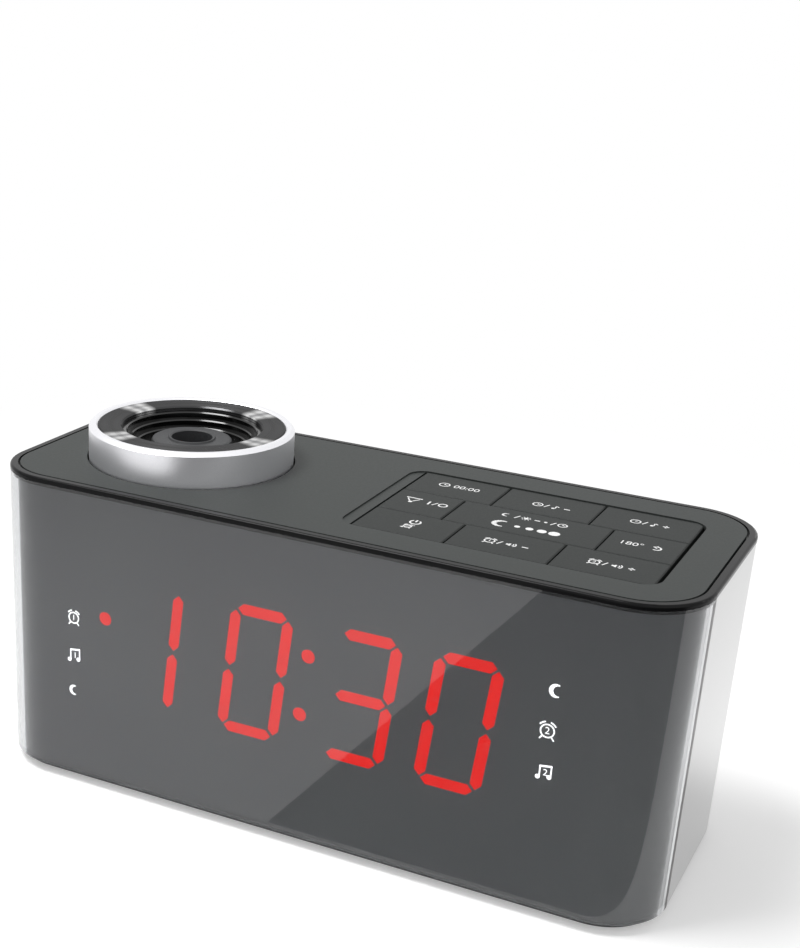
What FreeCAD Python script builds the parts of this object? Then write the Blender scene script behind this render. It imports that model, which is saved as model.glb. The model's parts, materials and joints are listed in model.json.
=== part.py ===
"""Projection alarm clock: an assembly of separate pieces, in millimetres.
Origin: on the table, under the middle of the body. +X is the clock's right, -Y its front, +Z up."""
import math
import os

import FreeCAD
import Part

# Body
body_width = 190.0
body_depth = 76.5
corner_radius = 17.2
foot_height = 1.2
foot_radius = 6.0
foot_end_inset = 31.0
foot_side_inset = 14.25
body_height = 85.5
case_wall = 2.0
seam_setback = 16.8
seam_gap = 0.2
tongue_length = 3.0
tongue_wall = 1.5
slip_gap = 0.12
skirt_gap = 0.4

# Base
base_inset = 2.3
base_floor = 2.0
base_strip = 1.9
tray_wall_height = 5.0
tray_wall = 1.5

# Top rim and panel
rim_face = 1.4
rim_width = 2.1
rim_fillet = 0.7
rim_ledge_width = 3.4
rim_ledge = 1.2
rim_skirt = 4.8
groove_width = 0.6
panel_lip = 1.0
panel_thickness = 2.4

# Keypad
pocket_end_inset = 12.5
pocket_width = 80.6
pocket_front_inset = 12.55
pocket_back_inset = 12.85
pocket_corner = 5.0
strip_width = 3.1
strip_sink = 0.4
pad_gap_left = 3.5
pad_gap_right = 1.0
pad_gap_front = 0.5
pad_gap_back = 0.4
front_row = 16.2
middle_row = 17.2
key_columns = (24.3, 26.1)
snooze_columns = (17.6, 39.6)
key_gap = 0.35
key_edge = 0.3
key_recess = 0.2
key_cap = 2.2
key_travel = 0.6
key_spare = 0.3
stem_side = 8.0
stem_fit = 0.3
stem_reach = 1.6
stop_lug = 0.8
key_frame_plate = 1.6
key_frame_border = 3.0
switch_height = 3.5
switch_side = 6.0
plunger_radius = 1.7
board_thickness = 1.6

# Projector
projector_end_inset = 41.0
projector_y = 0.3
ring_radius = 27.9
ring_wall = 2.4
ring_rise = 9.3
ring_bevel = 0.9
ring_foot_gap = 0.35
ring_rib = 1.0
well_gap = 0.5
well_depth = 6.0
well_wall = 1.5
turn_gap = 0.1
bezel_inner_radius = 18.9
bezel_thickness = 1.2
bezel_sink = 0.4
bezel_fit = 0.08
step_tread = 1.3
step_riser = 1.85
step_count = 3
step_nose = 0.3
baffle_wall = 1.5
baffle_foot_gap = 0.3
sleeve_wall = 1.4
sleeve_reach = 3.3
sleeve_lip = 0.6
sleeve_lip_height = 1.4
sleeve_collar = 1.5
sleeve_collar_height = 1.0
guide_wall = 1.6
barrel_radius = 11.0
barrel_rise = 5.4
barrel_length = 18.0
barrel_edge = 0.8
barrel_wall = 3.0
aperture_radius = 5.6
aperture_rim = 0.9
aperture_rim_rise = 0.5
aperture_depth = 4.8
pin_count = 3
pin_radius = 1.0
pin_reach = 2.9
pin_drop = 6.7
pin_slot = 2.2
focus_half_turn = 40.0
focus_travel = 1.25
lens_thickness = 4.4
lens_edge = 1.6
lens_seat = 0.8
light_box_side = 30.0
light_box_wall = 1.5
light_box_height = 30.0
slide_side = 17.0
slide_thickness = 2.2
slide_drop = 14.0
shelf_thickness = 1.2
condenser_radius = 9.5
condenser_thickness = 5.0
condenser_drop = 22.0
emitter_side = 3.5
emitter_height = 2.4

# Display
mask_end_inset = 19.0
mask_chin_gap = 3.9
mask_top_inset = 12.7
mask_thickness = 1.5
lens_to_mask = 0.35
lens_to_bars = 0.3
film_gap = 0.05
film_thickness = 0.2
film_window_reach = 0.5
window_left = -63.0
window_right = 62.0
window_below = 22.1
window_above = 22.9
module_depth = 10.0
module_fit = 0.2
segment_proud = 0.7
segment_width = 3.1
segment_gap = 0.45
digit_width = 14.7
digit_height = 36.6
digit_slant = 5.5
digit_centres = (-44.7, -13.3, 16.2, 42.1)
digit_drop = 40.6
dot_radius = 1.9
colon_x = 0.7
colon_spread = 8.2
lamp_left = -58.1
lamp_right = 56.2
lamp_rises_left = (4.8, -7.2, -18.6)
lamp_rises_right = (14.9, 4.1, -6.7)
post_radius = 2.3
post_side_inset = 6.0
post_from_window = 2.6

# Speaker
speaker_end_inset = 53.0
speaker_z = 43.0
speaker_radius = 25.0
speaker_flange = 1.2
speaker_depth = 13.0
magnet_radius = 14.0
magnet_thickness = 7.0
gasket_width = 2.5
gasket_thickness = 1.0
cone_thickness = 0.5
dust_cap_radius = 7.0
basket_wall = 0.8
grille_radius = 21.0
slot_height = 1.7
slot_pitch = 3.6

# Main board, inlet and antenna hole
main_board_end_inset = 22.0
main_board_width = 130.0
main_board_depth = 46.0
main_board_y = 10.0
main_board_post = 10.0
board_post_inset = 4.0
radio_chip = (49.0, 21.0, 12.0, 12.0, 1.6)
clock_chip = (87.0, 12.0, 20.0, 14.0, 2.2)
tuner_coil = (31.0, 25.0, 8.0, 8.0, 7.0)
capacitors = ((27.0, 37.0, 4.0, 11.0), (37.0, 37.0, 3.1, 9.0), (11.0, 17.0, 3.1, 9.0))
inlet_end_inset = 33.0
inlet_side = 9.0
inlet_height = 11.0
inlet_depth = 14.0
inlet_bore = 3.15
inlet_bore_depth = 9.5
inlet_pin = 1.05
inlet_hole = 4.2
socket_plate_width = 20.0
socket_plate_rise = 10.0
antenna_end_inset = 17.0
antenna_hole = 2.4
antenna_bore = 1.0
antenna_flange = 0.8

# Screws
screw_end_inset = 16.0
screw_rear_inset = 13.25
screw_front_inset = 13.75
screw_boss = 3.6
screw_boss_height = 13.0
screw_shank = 1.4
screw_head = 2.9
screw_head_height = 1.8
screw_clearance = 0.06
screw_pad = 5.2
screw_pad_height = 2.6
rib_width = 1.6

# Battery compartment
door_end_inset = 61.0
door_width = 30.0
door_length = 28.0
door_thickness = 1.2
door_gap = 0.3
door_tongue = 1.0
door_tongue_thickness = 0.5
door_travel = 6.0
cell_radius = 10.0
cell_thickness = 3.2
cell_fit = 0.3
cell_cup_wall = 1.4
cell_cup_roof = 1.6
contact_thickness = 0.3
contact_outer = 6.0
contact_inner = 2.0
cell_play = 0.4
cell_seat = 0.05

# Heights above the table, worked out from the sizes above
base_bottom = foot_height
wall_bottom = base_bottom + base_strip
top = foot_height + body_height
half_depth = body_depth / 2
half_width = body_width / 2
seam_y = seam_setback - half_depth
axis = FreeCAD.Vector(0, 0, 1)
projector = FreeCAD.Vector(projector_end_inset - half_width, projector_y, 0)
screw_x = half_width - screw_end_inset
screw_rear_y = half_depth - screw_rear_inset
screw_front_y = screw_front_inset - half_depth
inlet_x = inlet_end_inset - half_width
antenna_x = antenna_end_inset - half_width
speaker_x = half_width - speaker_end_inset
door_x = half_width - door_end_inset
main_board_left = main_board_end_inset - half_width
main_board_right = main_board_left + main_board_width
main_board_front = main_board_y - main_board_depth / 2
main_board_back = main_board_y + main_board_depth / 2


def outline(half_x, half_y, radius, z, centre=(0.0, 0.0)):
    """A rectangle with round corners, as a wire at height z."""
    cx, cy = centre
    corners = [(1, -1, -90), (1, 1, 0), (-1, 1, 90), (-1, -1, 180)]
    arcs = []
    for side_x, side_y, start in corners:
        middle = FreeCAD.Vector(cx + side_x * (half_x - radius), cy + side_y * (half_y - radius), z)
        arcs.append(Part.makeCircle(radius, middle, axis, start, start + 90))
    edges = []
    for number, arc in enumerate(arcs):
        following = arcs[(number + 1) % 4]
        edges.append(arc)
        edges.append(Part.makeLine(arc.lastVertex().Point, following.firstVertex().Point))
    return Part.Wire(Part.__sortEdges__(edges))


def slab(inset, low, high):
    """The body's own outline, drawn in by inset, from one height to another."""
    wire = outline(half_width - inset, half_depth - inset, corner_radius - inset, low)
    return Part.Face(wire).extrude(axis * (high - low))


def band(outer, inner, low, high):
    """A frame that follows the body's outline, between two insets."""
    return slab(outer, low, high).cut(slab(inner, low - 1, high + 1))


def block(x0, x1, y0, y1, z0, z1):
    return Part.makeBox(x1 - x0, y1 - y0, z1 - z0, FreeCAD.Vector(x0, y0, z0))


def drum(radius, low, high, centre):
    """An upright cylinder about centre."""
    return Part.makeCylinder(radius, high - low, FreeCAD.Vector(centre.x, centre.y, low))


def tube(outer, inner, low, high, centre):
    return drum(outer, low, high, centre).cut(drum(inner, low - 1, high + 1, centre))


def turned(profile, centre):
    """A solid of revolution about an upright axis, from points (radius, height)."""
    points = [FreeCAD.Vector(centre.x + r, centre.y, z) for r, z in profile]
    face = Part.Face(Part.makePolygon(points + points[:1]))
    return face.revolve(centre, axis, 360)


def rod_y(radius, y0, y1, x, z):
    """A cylinder along the depth."""
    return Part.makeCylinder(radius, y1 - y0, FreeCAD.Vector(x, y0, z), FreeCAD.Vector(0, 1, 0))


def joined(shapes):
    whole = shapes[0].multiFuse(shapes[1:]) if len(shapes) > 1 else shapes[0]
    return whole.removeSplitter()


def save(name, *shapes):
    """Writes one node. Several solids stay separate in one file."""
    shape = shapes[0] if len(shapes) == 1 else Part.makeCompound(list(shapes))
    shape.exportStep(os.path.join("parts", name + ".step"))
    print(name, len(shape.Solids), round(shape.Volume, 1), shape.isValid())


# Front and rear halves of the walls
lap_top = top - rim_face
lap_bottom = lap_top - panel_lip
lap_wall = 0.9
walls = joined([
    band(0, case_wall, wall_bottom, lap_bottom),
    band(0, lap_wall, lap_bottom, lap_top),
])
front_side = block(-body_width, body_width, -body_depth, seam_y, 0, 2 * top)
rear_side = block(-body_width, body_width, seam_y + seam_gap, body_depth, 0, 2 * top)
tongue_inset = case_wall + skirt_gap
tongue_low = wall_bottom + tray_wall_height + slip_gap + 0.3
tongue_high = lap_bottom - rim_skirt - 0.4


def front_lens():
    return walls.common(front_side)


def slot_cutter(z):
    """One slot of the speaker grille, as long as the round grille is at that height."""
    half = math.sqrt(max(grille_radius ** 2 - (z - speaker_z) ** 2, 0))
    r = slot_height / 2
    reach = half - r
    y0 = half_depth - case_wall - 1
    y1 = half_depth + 1
    bar = block(speaker_x - reach, speaker_x + reach, y0, y1, z - r, z + r)
    ends = [rod_y(r, y0, y1, speaker_x + side * reach, z) for side in (-1, 1)]
    return joined([bar] + ends)


def inlet_height_above_table():
    return base_bottom + base_floor + main_board_post + board_thickness + inlet_height / 2


def rear_case():
    tongue_zone = block(-body_width, body_width, seam_y - tongue_length, seam_y + tongue_length, 0, 2 * top)
    tongue = band(tongue_inset, tongue_inset + tongue_wall, tongue_low, tongue_high).common(tongue_zone)
    bridge_zone = block(-body_width, body_width, seam_y + seam_gap, seam_y + tongue_length, 0, 2 * top)
    bridge = band(case_wall - 0.5, tongue_inset + tongue_wall, tongue_low, tongue_high).common(bridge_zone)
    pieces = [walls.common(rear_side), tongue, bridge]
    low = base_bottom + base_floor + screw_pad_height
    high = low + screw_boss_height
    rib_low = wall_bottom + tray_wall_height + panel_lip
    for side in (-1, 1):
        centre = FreeCAD.Vector(side * screw_x, screw_rear_y, 0)
        pieces.append(drum(screw_boss, low, high, centre))
        x = side * screw_x
        wall_y = half_depth - case_wall / 2
        pieces.append(block(x - rib_width / 2, x + rib_width / 2, screw_rear_y, wall_y, rib_low, high))
    case = joined(pieces)
    for side in (-1, 1):
        centre = FreeCAD.Vector(side * screw_x, screw_rear_y, 0)
        case = case.cut(drum(screw_shank + screw_clearance, 0, high - 1, centre))
    count = int(grille_radius / slot_pitch)
    slots = [slot_cutter(speaker_z + n * slot_pitch) for n in range(-count, count + 1)]
    case = case.cut(Part.makeCompound(slots))
    case = case.cut(socket_bay(0, 0))
    port_z = inlet_height_above_table()
    case = case.cut(rod_y(antenna_hole, half_depth - 2 * case_wall, half_depth + 1, antenna_x, port_z))
    flange_bed = half_depth - antenna_flange
    return case.cut(rod_y(antenna_hole + antenna_flange, flange_bed, half_depth + 1, antenna_x, port_z))


def socket_bay(gap, low):
    """The block of rear wall round the socket's hole, smaller all round by the gap."""
    half = socket_plate_width / 2 - gap
    high = inlet_height_above_table() + socket_plate_rise - gap
    return block(inlet_x - half, inlet_x + half, half_depth - case_wall, half_depth, low, high)


def socket_plate():
    """The plate that closes the rear wall round the socket: it is fitted with the socket, and stands on the base."""
    hole = rod_y(inlet_hole, half_depth - 2 * case_wall, half_depth + 1, inlet_x, inlet_height_above_table())
    return socket_bay(slip_gap, wall_bottom).cut(hole)


def top_rim():
    face = band(0, rim_width, lap_top, top)
    edges = [e for e in face.Edges if abs(e.BoundBox.ZMin - top) < 1e-6 and abs(e.BoundBox.ZMax - top) < 1e-6]
    far = slab(rim_width / 2, top - 1, top + 1)
    outer = [e for e in edges if not far.isInside(e.valueAt((e.FirstParameter + e.LastParameter) / 2), 1e-6, True)]
    face = face.makeFillet(rim_fillet, outer)
    ledge_bottom = lap_bottom
    ledge = band(lap_wall + slip_gap, rim_width + groove_width + rim_ledge_width, ledge_bottom, top - panel_lip)
    skirt = band(tongue_inset, tongue_inset + tray_wall, lap_bottom - rim_skirt, lap_bottom)
    return joined([face, ledge, skirt])


pocket_right = half_width - pocket_end_inset
pocket_left = pocket_right - pocket_width
pocket_front = pocket_front_inset - half_depth
pocket_back = half_depth - pocket_back_inset
pocket_x = (pocket_left + pocket_right) / 2
pocket_y = (pocket_front + pocket_back) / 2
pad_left = pocket_left + pad_gap_left
pad_right = pocket_right - pad_gap_right
pad_front = pocket_front + pad_gap_front
pad_back = pocket_back - pad_gap_back
row_edges = (pad_front, pad_front + front_row, pad_front + front_row + middle_row, pad_back)


def pocket(grow, low, high):
    """The keypad pocket's own outline, made larger by grow."""
    half_x = (pocket_right - pocket_left) / 2 + grow
    half_y = (pocket_back - pocket_front) / 2 + grow
    wire = outline(half_x, half_y, pocket_corner + grow, low, (pocket_x, pocket_y))
    return Part.Face(wire).extrude(axis * (high - low))


well_radius = ring_radius + well_gap
well_floor = top - well_depth
sleeve_inner = barrel_radius + turn_gap
sleeve_outer = sleeve_inner + sleeve_wall
guide_inner = sleeve_outer + turn_gap
guide_outer = guide_inner + guide_wall


def top_panel():
    lip = slab(rim_width + groove_width, top - panel_lip, top)
    plug_inset = rim_width + groove_width + rim_ledge_width + slip_gap
    plug = slab(plug_inset, top - panel_thickness, top - panel_lip)
    pot = drum(well_radius + well_wall, well_floor - well_wall, top - panel_lip, projector)
    panel = joined([lip, plug, pot])
    panel = panel.cut(drum(well_radius, well_floor, top + 1, projector))
    panel = panel.cut(drum(guide_outer + slip_gap, well_floor - 2 * well_wall, top, projector))
    deep = pocket(0, top - 2 * panel_thickness, top + 1)
    keys_only = block(pocket_left + strip_width, body_width, -body_depth, body_depth, 0, 2 * top)
    return panel.cut(pocket(0, top - strip_sink, top + 1)).cut(deep.common(keys_only))


def foot_centres():
    for x in (-1, 1):
        for y in (-1, 1):
            yield FreeCAD.Vector(x * (half_width - foot_end_inset), y * (half_depth - foot_side_inset), 0)


def screw_centres():
    for x in (-1, 1):
        for y in (screw_front_y, screw_rear_y):
            yield FreeCAD.Vector(x * screw_x, y, 0)


# The door runs on tongues in two grooves; its bay is longer than the door by the travel.
bay_half = door_width / 2 + door_gap
bay_front = -door_length / 2 - door_gap
bay_back = door_length / 2 + door_travel + door_gap
door_top = base_bottom + door_thickness
groove_low = door_top - door_tongue_thickness - door_gap
cup_radius = cell_radius + cell_fit


def base_plate():
    floor_top = base_bottom + base_floor
    floor = slab(base_inset, base_bottom, floor_top)
    strip = band(base_inset, base_inset + tray_wall, base_bottom, wall_bottom + tray_wall)
    tray = band(tongue_inset, tongue_inset + tray_wall, wall_bottom, wall_bottom + tray_wall_height)
    pads = [drum(screw_pad, base_bottom, floor_top + screw_pad_height - slip_gap, c) for c in screw_centres()]
    cup_top = floor_top + cell_thickness + cell_cup_roof
    cup = drum(cup_radius + cell_cup_wall, floor_top, cup_top, FreeCAD.Vector(door_x, 0, 0))
    inset = board_post_inset
    posts = [drum(post_radius, base_bottom, floor_top + main_board_post, FreeCAD.Vector(x, y, 0))
             for x in (main_board_left + inset, main_board_right - inset)
             for y in (main_board_front + inset, main_board_back - inset)]
    plate = joined([floor, strip, tray, cup] + pads + posts)
    for centre in screw_centres():
        plate = plate.cut(drum(screw_head + 0.2, 0, base_bottom + screw_head_height + 0.6, centre))
        plate = plate.cut(drum(screw_shank + screw_clearance, 0, top, centre))
    bay = block(door_x - bay_half, door_x + bay_half, bay_front, bay_back, 0, door_top + door_gap)
    tongue_reach = bay_half + door_tongue
    grooves = block(door_x - tongue_reach, door_x + tongue_reach, bay_front, bay_back,
                    groove_low, door_top + door_gap)
    opening = drum(cup_radius, 0, floor_top + cell_thickness, FreeCAD.Vector(door_x, 0, 0))
    return plate.cut(bay).cut(grooves).cut(opening)


def battery_door():
    plate = block(door_x - door_width / 2, door_x + door_width / 2, -door_length / 2, door_length / 2,
                  base_bottom + 0.1, door_top)
    reach = door_width / 2 + door_tongue
    tongue = block(door_x - reach, door_x + reach, -door_length / 2 + 2, door_length / 2 - 2,
                   door_top - door_tongue_thickness, door_top)
    ridges = [block(door_x - 5, door_x + 5, door_length / 2 - 4 - 1.6 * n, door_length / 2 - 3.2 - 1.6 * n,
                    base_bottom, base_bottom + 0.1 + 0.3) for n in range(3)]
    return joined([plate, tongue] + ridges)


def rubber_feet():
    return [drum(foot_radius, 0, foot_height, centre) for centre in foot_centres()]


def base_screws():
    screws = []
    head_low = base_bottom + 0.5
    head_high = base_bottom + 0.5 + screw_head_height
    for centre in screw_centres():
        head = drum(screw_head, head_low, head_high, centre)
        shank = drum(screw_shank, head_low, head_high + screw_boss_height, centre)
        cross = [block(centre.x - 1.6, centre.x + 1.6, centre.y - 0.3, centre.y + 0.3, 0, head_low + 0.8),
                 block(centre.x - 0.3, centre.x + 0.3, centre.y - 1.6, centre.y + 1.6, 0, head_low + 0.8)]
        screws.append(joined([head, shank]).cut(Part.makeCompound(cross)))
    return screws


# Keys
key_top = top - key_recess
cap_bottom = key_top - key_cap
frame_top = cap_bottom - key_travel - key_spare
frame_bottom = frame_top - key_frame_plate
stem_bottom = frame_bottom - stem_reach
plunger_top = stem_bottom - key_travel - key_spare
switch_base = plunger_top - switch_height
key_names = (
    ("power_key", "alarm_one_key", "alarm_two_key"),
    ("projection_key", "snooze_key", "flip_key"),
    ("time_set_key", "hour_key", "minute_key"),
)


def key_cells():
    """Each key's name and the four sides of its cell. Row 0 is the front row."""
    for row, names in enumerate(key_names):
        first, second = snooze_columns if row == 1 else key_columns
        columns = (pad_left, pad_left + first, pad_left + first + second, pad_right)
        for column, name in enumerate(names):
            yield name, columns[column], columns[column + 1], row_edges[row], row_edges[row + 1]


def key_stem_centre(x0, x1, y0, y1):
    return FreeCAD.Vector((x0 + x1) / 2, (y0 + y1) / 2, 0)


def key(x0, x1, y0, y1):
    """A cap with a square stem under it and two stop lugs under the key frame."""
    half = key_gap / 2
    cap = block(x0 + half, x1 - half, y0 + half, y1 - half, cap_bottom, key_top)
    cap = cap.common(pocket(-half, cap_bottom - 1, key_top + 1))
    rim = [e for e in cap.Edges if e.BoundBox.ZMin > key_top - 1e-6]
    cap = cap.makeChamfer(key_edge, rim)
    c = key_stem_centre(x0, x1, y0, y1)
    s = stem_side / 2
    stem = block(c.x - s, c.x + s, c.y - s, c.y + s, stem_bottom, cap_bottom)
    hollow = block(c.x - s + 1.4, c.x + s - 1.4, c.y - s + 1.4, c.y + s - 1.4, stem_bottom + 1, cap_bottom)
    lug_top = frame_bottom - key_spare
    lugs = [block(c.x + side * s - stop_lug, c.x + side * s + stop_lug, c.y - 1.5, c.y + 1.5,
                  stem_bottom, lug_top) for side in (-1, 1)]
    return joined([cap, stem.cut(hollow)] + lugs)


def key_frame():
    """A plate under the pad with a window for each stem, and a border that meets the panel."""
    plate = pocket(key_frame_border, frame_bottom, top - panel_thickness)
    plate = plate.cut(pocket(0, frame_top, top))
    s = stem_side / 2 + stem_fit
    for _, x0, x1, y0, y1 in key_cells():
        c = key_stem_centre(x0, x1, y0, y1)
        plate = plate.cut(block(c.x - s, c.x + s, c.y - s, c.y + s, frame_bottom - 1, frame_top + 1))
    legs = []
    for x in (pocket_left, pocket_right):
        for y in (pocket_front, pocket_back):
            legs.append(drum(post_radius, switch_base, frame_bottom, FreeCAD.Vector(x, y, 0)))
    return joined([plate] + legs)


def key_board():
    return pocket(post_radius, switch_base - board_thickness, switch_base)


def tact_switches():
    switches = []
    s = switch_side / 2
    for _, x0, x1, y0, y1 in key_cells():
        c = key_stem_centre(x0, x1, y0, y1)
        body = block(c.x - s, c.x + s, c.y - s, c.y + s, switch_base, plunger_top - 0.9)
        switches.append(joined([body, drum(plunger_radius, plunger_top - 1.5, plunger_top, c)]))
    return switches


# Projector
ring_top = top + ring_rise
ring_inner = ring_radius - ring_wall
ring_low = well_floor + ring_foot_gap
bezel_top = ring_top - bezel_sink
bezel_low = bezel_top - bezel_thickness
baffle_top = bezel_low - bezel_fit
baffle_outer = ring_inner - ring_rib - bezel_fit
baffle_foot = well_floor + baffle_foot_gap
baffle_floor = baffle_top - step_count * step_riser
box_top = well_floor - well_wall
barrel_top = top + barrel_rise
barrel_low = barrel_top - barrel_length
aperture_low = barrel_top - aperture_depth
lens_radius = barrel_radius - barrel_wall - bezel_fit
pin_height = top - pin_drop
guide_top = baffle_floor - baffle_wall - sleeve_collar_height - baffle_foot_gap


def focus_ring():
    """A tube with a bevelled top; a rib inside its foot turns on the baffle."""
    b = ring_bevel
    profile = [
        (ring_inner, ring_low + 3 * ring_rib), (ring_inner - ring_rib, ring_low + 2 * ring_rib),
        (ring_inner - ring_rib, ring_low),
        (ring_radius, ring_low), (ring_radius, ring_top - b), (ring_radius - b, ring_top),
        (ring_inner + b / 2, ring_top), (ring_inner, ring_top - b / 2),
    ]
    return turned(profile, projector)


def bezel_disc():
    """The dark dished disc that closes the ring; its edge is a snap fit in the ring."""
    rim = ring_inner - bezel_fit
    inner = bezel_inner_radius
    profile = [
        (inner, bezel_low), (rim, bezel_low), (rim, bezel_top), (rim - 0.3, bezel_top + 0.15),
        (inner + 0.4, bezel_top), (inner, bezel_top - 0.4),
    ]
    return turned(profile, projector)


def helical_slot(start_angle):
    """A cutter that climbs round the sleeve. Turning the sleeve lifts a pin that stands in it."""
    pin_angle = math.degrees((pin_slot / 2 + baffle_foot_gap) / sleeve_inner)
    swing = focus_half_turn + pin_angle
    climb = focus_travel * swing / focus_half_turn
    pitch = 360 * focus_travel / focus_half_turn
    near = sleeve_inner - sleeve_wall
    far = sleeve_outer + sleeve_wall
    middle = (near + far) / 2
    helix = Part.makeHelix(pitch, 2 * climb, middle)
    half = pin_slot / 2
    corners = [FreeCAD.Vector(r, 0, z) for r, z in ((near, -half), (far, -half), (far, half), (near, half))]
    profile = Part.makePolygon(corners + corners[:1])
    sweep = Part.BRepOffsetAPI.MakePipeShell(Part.Wire(helix.Edges))
    sweep.setFrenetMode(True)
    sweep.add(profile)
    sweep.build()
    sweep.makeSolid()
    cutter = sweep.shape()
    cutter.rotate(FreeCAD.Vector(), axis, start_angle - swing)
    cutter.translate(projector + axis * (pin_height - climb))
    return cutter


def pin_angles():
    return [n * 360 / pin_count for n in range(pin_count)]


def step_baffle():
    """The well of steps round the lens, which turns with the ring."""
    stairs = []
    r = bezel_inner_radius - step_tread
    z = baffle_top
    for _ in range(step_count):
        stairs += [(r + step_nose, z), (r, z - step_nose), (r, z - step_riser)]
        r -= step_tread
        z -= step_riser
    under = baffle_floor - baffle_wall
    hole = sleeve_outer + bezel_fit
    bell = baffle_outer - baffle_wall
    skirt = [(hole, baffle_floor), (hole, under), (bezel_inner_radius, under),
             (bell, baffle_top - 2 * baffle_wall), (bell, baffle_foot), (baffle_outer, baffle_foot),
             (baffle_outer, baffle_top)]
    return turned(stairs + skirt, projector)


def drive_sleeve():
    """The tube under the baffle: helical slots lift the barrel's pins, and its lip clips into the light box."""
    low = box_top - sleeve_reach
    lip = sleeve_outer + sleeve_lip
    under = baffle_floor - baffle_wall - bezel_fit
    collar = sleeve_outer + sleeve_collar
    profile = [(sleeve_inner, baffle_floor), (sleeve_inner, low), (sleeve_outer, low), (lip, low + sleeve_lip),
               (lip, low + sleeve_lip_height), (sleeve_outer, low + sleeve_lip_height),
               (sleeve_outer, under - sleeve_collar_height), (collar, under - sleeve_collar_height),
               (collar, under), (sleeve_outer, under), (sleeve_outer, baffle_floor)]
    slots = Part.makeCompound([helical_slot(angle) for angle in pin_angles()])
    return turned(profile, projector).cut(slots)


def lens_barrel():
    """The focusing barrel: a flat-faced plug with a round rim about the aperture."""
    b = barrel_edge
    bore = barrel_radius - barrel_wall
    rim_top = barrel_top + aperture_rim_rise
    rim_outer = aperture_radius + aperture_rim
    profile = [
        (aperture_radius, aperture_low), (bore, aperture_low), (bore, barrel_low), (barrel_radius, barrel_low),
        (barrel_radius, barrel_top - b), (barrel_radius - b / 3, barrel_top - b / 3), (barrel_radius - b, barrel_top),
        (rim_outer, barrel_top), (rim_outer - aperture_rim / 4, rim_top - aperture_rim_rise / 5),
        (rim_outer - aperture_rim / 2, rim_top), (aperture_radius, rim_top - aperture_rim_rise / 2),
    ]
    start = barrel_radius - barrel_wall / 2
    end = barrel_radius + pin_reach
    pins = []
    for angle in pin_angles():
        a = math.radians(angle)
        out = FreeCAD.Vector(math.cos(a), math.sin(a), 0)
        foot = projector + out * start + axis * pin_height
        pins.append(Part.makeCylinder(pin_radius, end - start, foot, out))
    return joined([turned(profile, projector)] + pins)


def domed_disc(radius, edge, thickness, low, both):
    """A lens about the projector's axis: flat or domed below, domed above."""
    dome = (thickness - edge) / (2 if both else 1)
    base = low + (dome if both else 0)
    points = [FreeCAD.Vector(projector.x, projector.y, low), FreeCAD.Vector(projector.x + radius, projector.y, base),
              FreeCAD.Vector(projector.x + radius, projector.y, base + edge),
              FreeCAD.Vector(projector.x, projector.y, low + thickness)]

    def arc(start, end, rise, about_z):
        ball = (radius ** 2 + rise ** 2) / (2 * rise)
        half_way = radius / 2
        sag = ball - math.sqrt(ball ** 2 - half_way ** 2)
        height = about_z - sag if end.x < start.x else about_z + sag
        return Part.Arc(start, FreeCAD.Vector(projector.x + half_way, projector.y, height), end).toShape()

    upper = arc(points[2], points[3], dome, low + thickness)
    lower = arc(points[0], points[1], dome, low) if both else Part.makeLine(points[0], points[1])
    edges = [lower, Part.makeLine(points[1], points[2]), upper, Part.makeLine(points[3], points[0])]
    return Part.Face(Part.Wire(edges)).revolve(projector, axis, 360)


def projection_lens():
    low = aperture_low - lens_seat - (lens_thickness + lens_edge) / 2
    return domed_disc(lens_radius, lens_edge, lens_thickness, low, True)


box_low = box_top - light_box_height
slide_floor = box_top - slide_drop
condenser_floor = box_top - condenser_drop


def square(side, low, high):
    h = side / 2
    return block(projector.x - h, projector.x + h, projector.y - h, projector.y + h, low, high)


def light_box():
    """The housing under the well: a guide tube with upright slots for the pins, and two shelves."""
    inner = light_box_side - 2 * light_box_wall
    shell = square(light_box_side, box_low, box_top).cut(square(inner, box_low - 1, box_top - light_box_wall))
    shelf_one = square(inner + slip_gap, slide_floor - shelf_thickness, slide_floor).cut(
        square(slide_side - 3, slide_floor - 5, slide_floor + 1))
    shelf_two = square(inner + slip_gap, condenser_floor - shelf_thickness, condenser_floor).cut(
        drum(condenser_radius - 1.2, condenser_floor - 5, condenser_floor + 1, projector))
    box = joined([shell, shelf_one, shelf_two, drum(guide_outer, box_top, guide_top, projector)])
    box = box.cut(drum(guide_inner, box_top - 2 * light_box_wall, top, projector))
    half = pin_slot / 2
    low = pin_height - focus_travel - half
    end = barrel_radius + pin_reach + baffle_foot_gap
    for angle in pin_angles():
        slot = Part.makeBox(end, pin_slot, top - low, FreeCAD.Vector(0, -half, low))
        slot.rotate(FreeCAD.Vector(), axis, angle)
        slot.translate(projector)
        box = box.cut(slot)
    return box


def picture_slide():
    return square(slide_side, slide_floor + 0.02, slide_floor + slide_thickness)


def condenser_lens():
    return domed_disc(condenser_radius, 1.2, condenser_thickness, condenser_floor + 0.02, False)


def projector_board():
    return square(light_box_side, box_low - board_thickness, box_low)


def projector_led():
    base = square(emitter_side * 2, box_low, box_low + emitter_height / 2)
    dome = Part.makeSphere(emitter_side / 2, FreeCAD.Vector(projector.x, projector.y, box_low + emitter_height / 2))
    cap = dome.common(square(4 * emitter_side, box_low + emitter_height / 4, box_low + 4 * emitter_height))
    return joined([base, cap])


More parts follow.
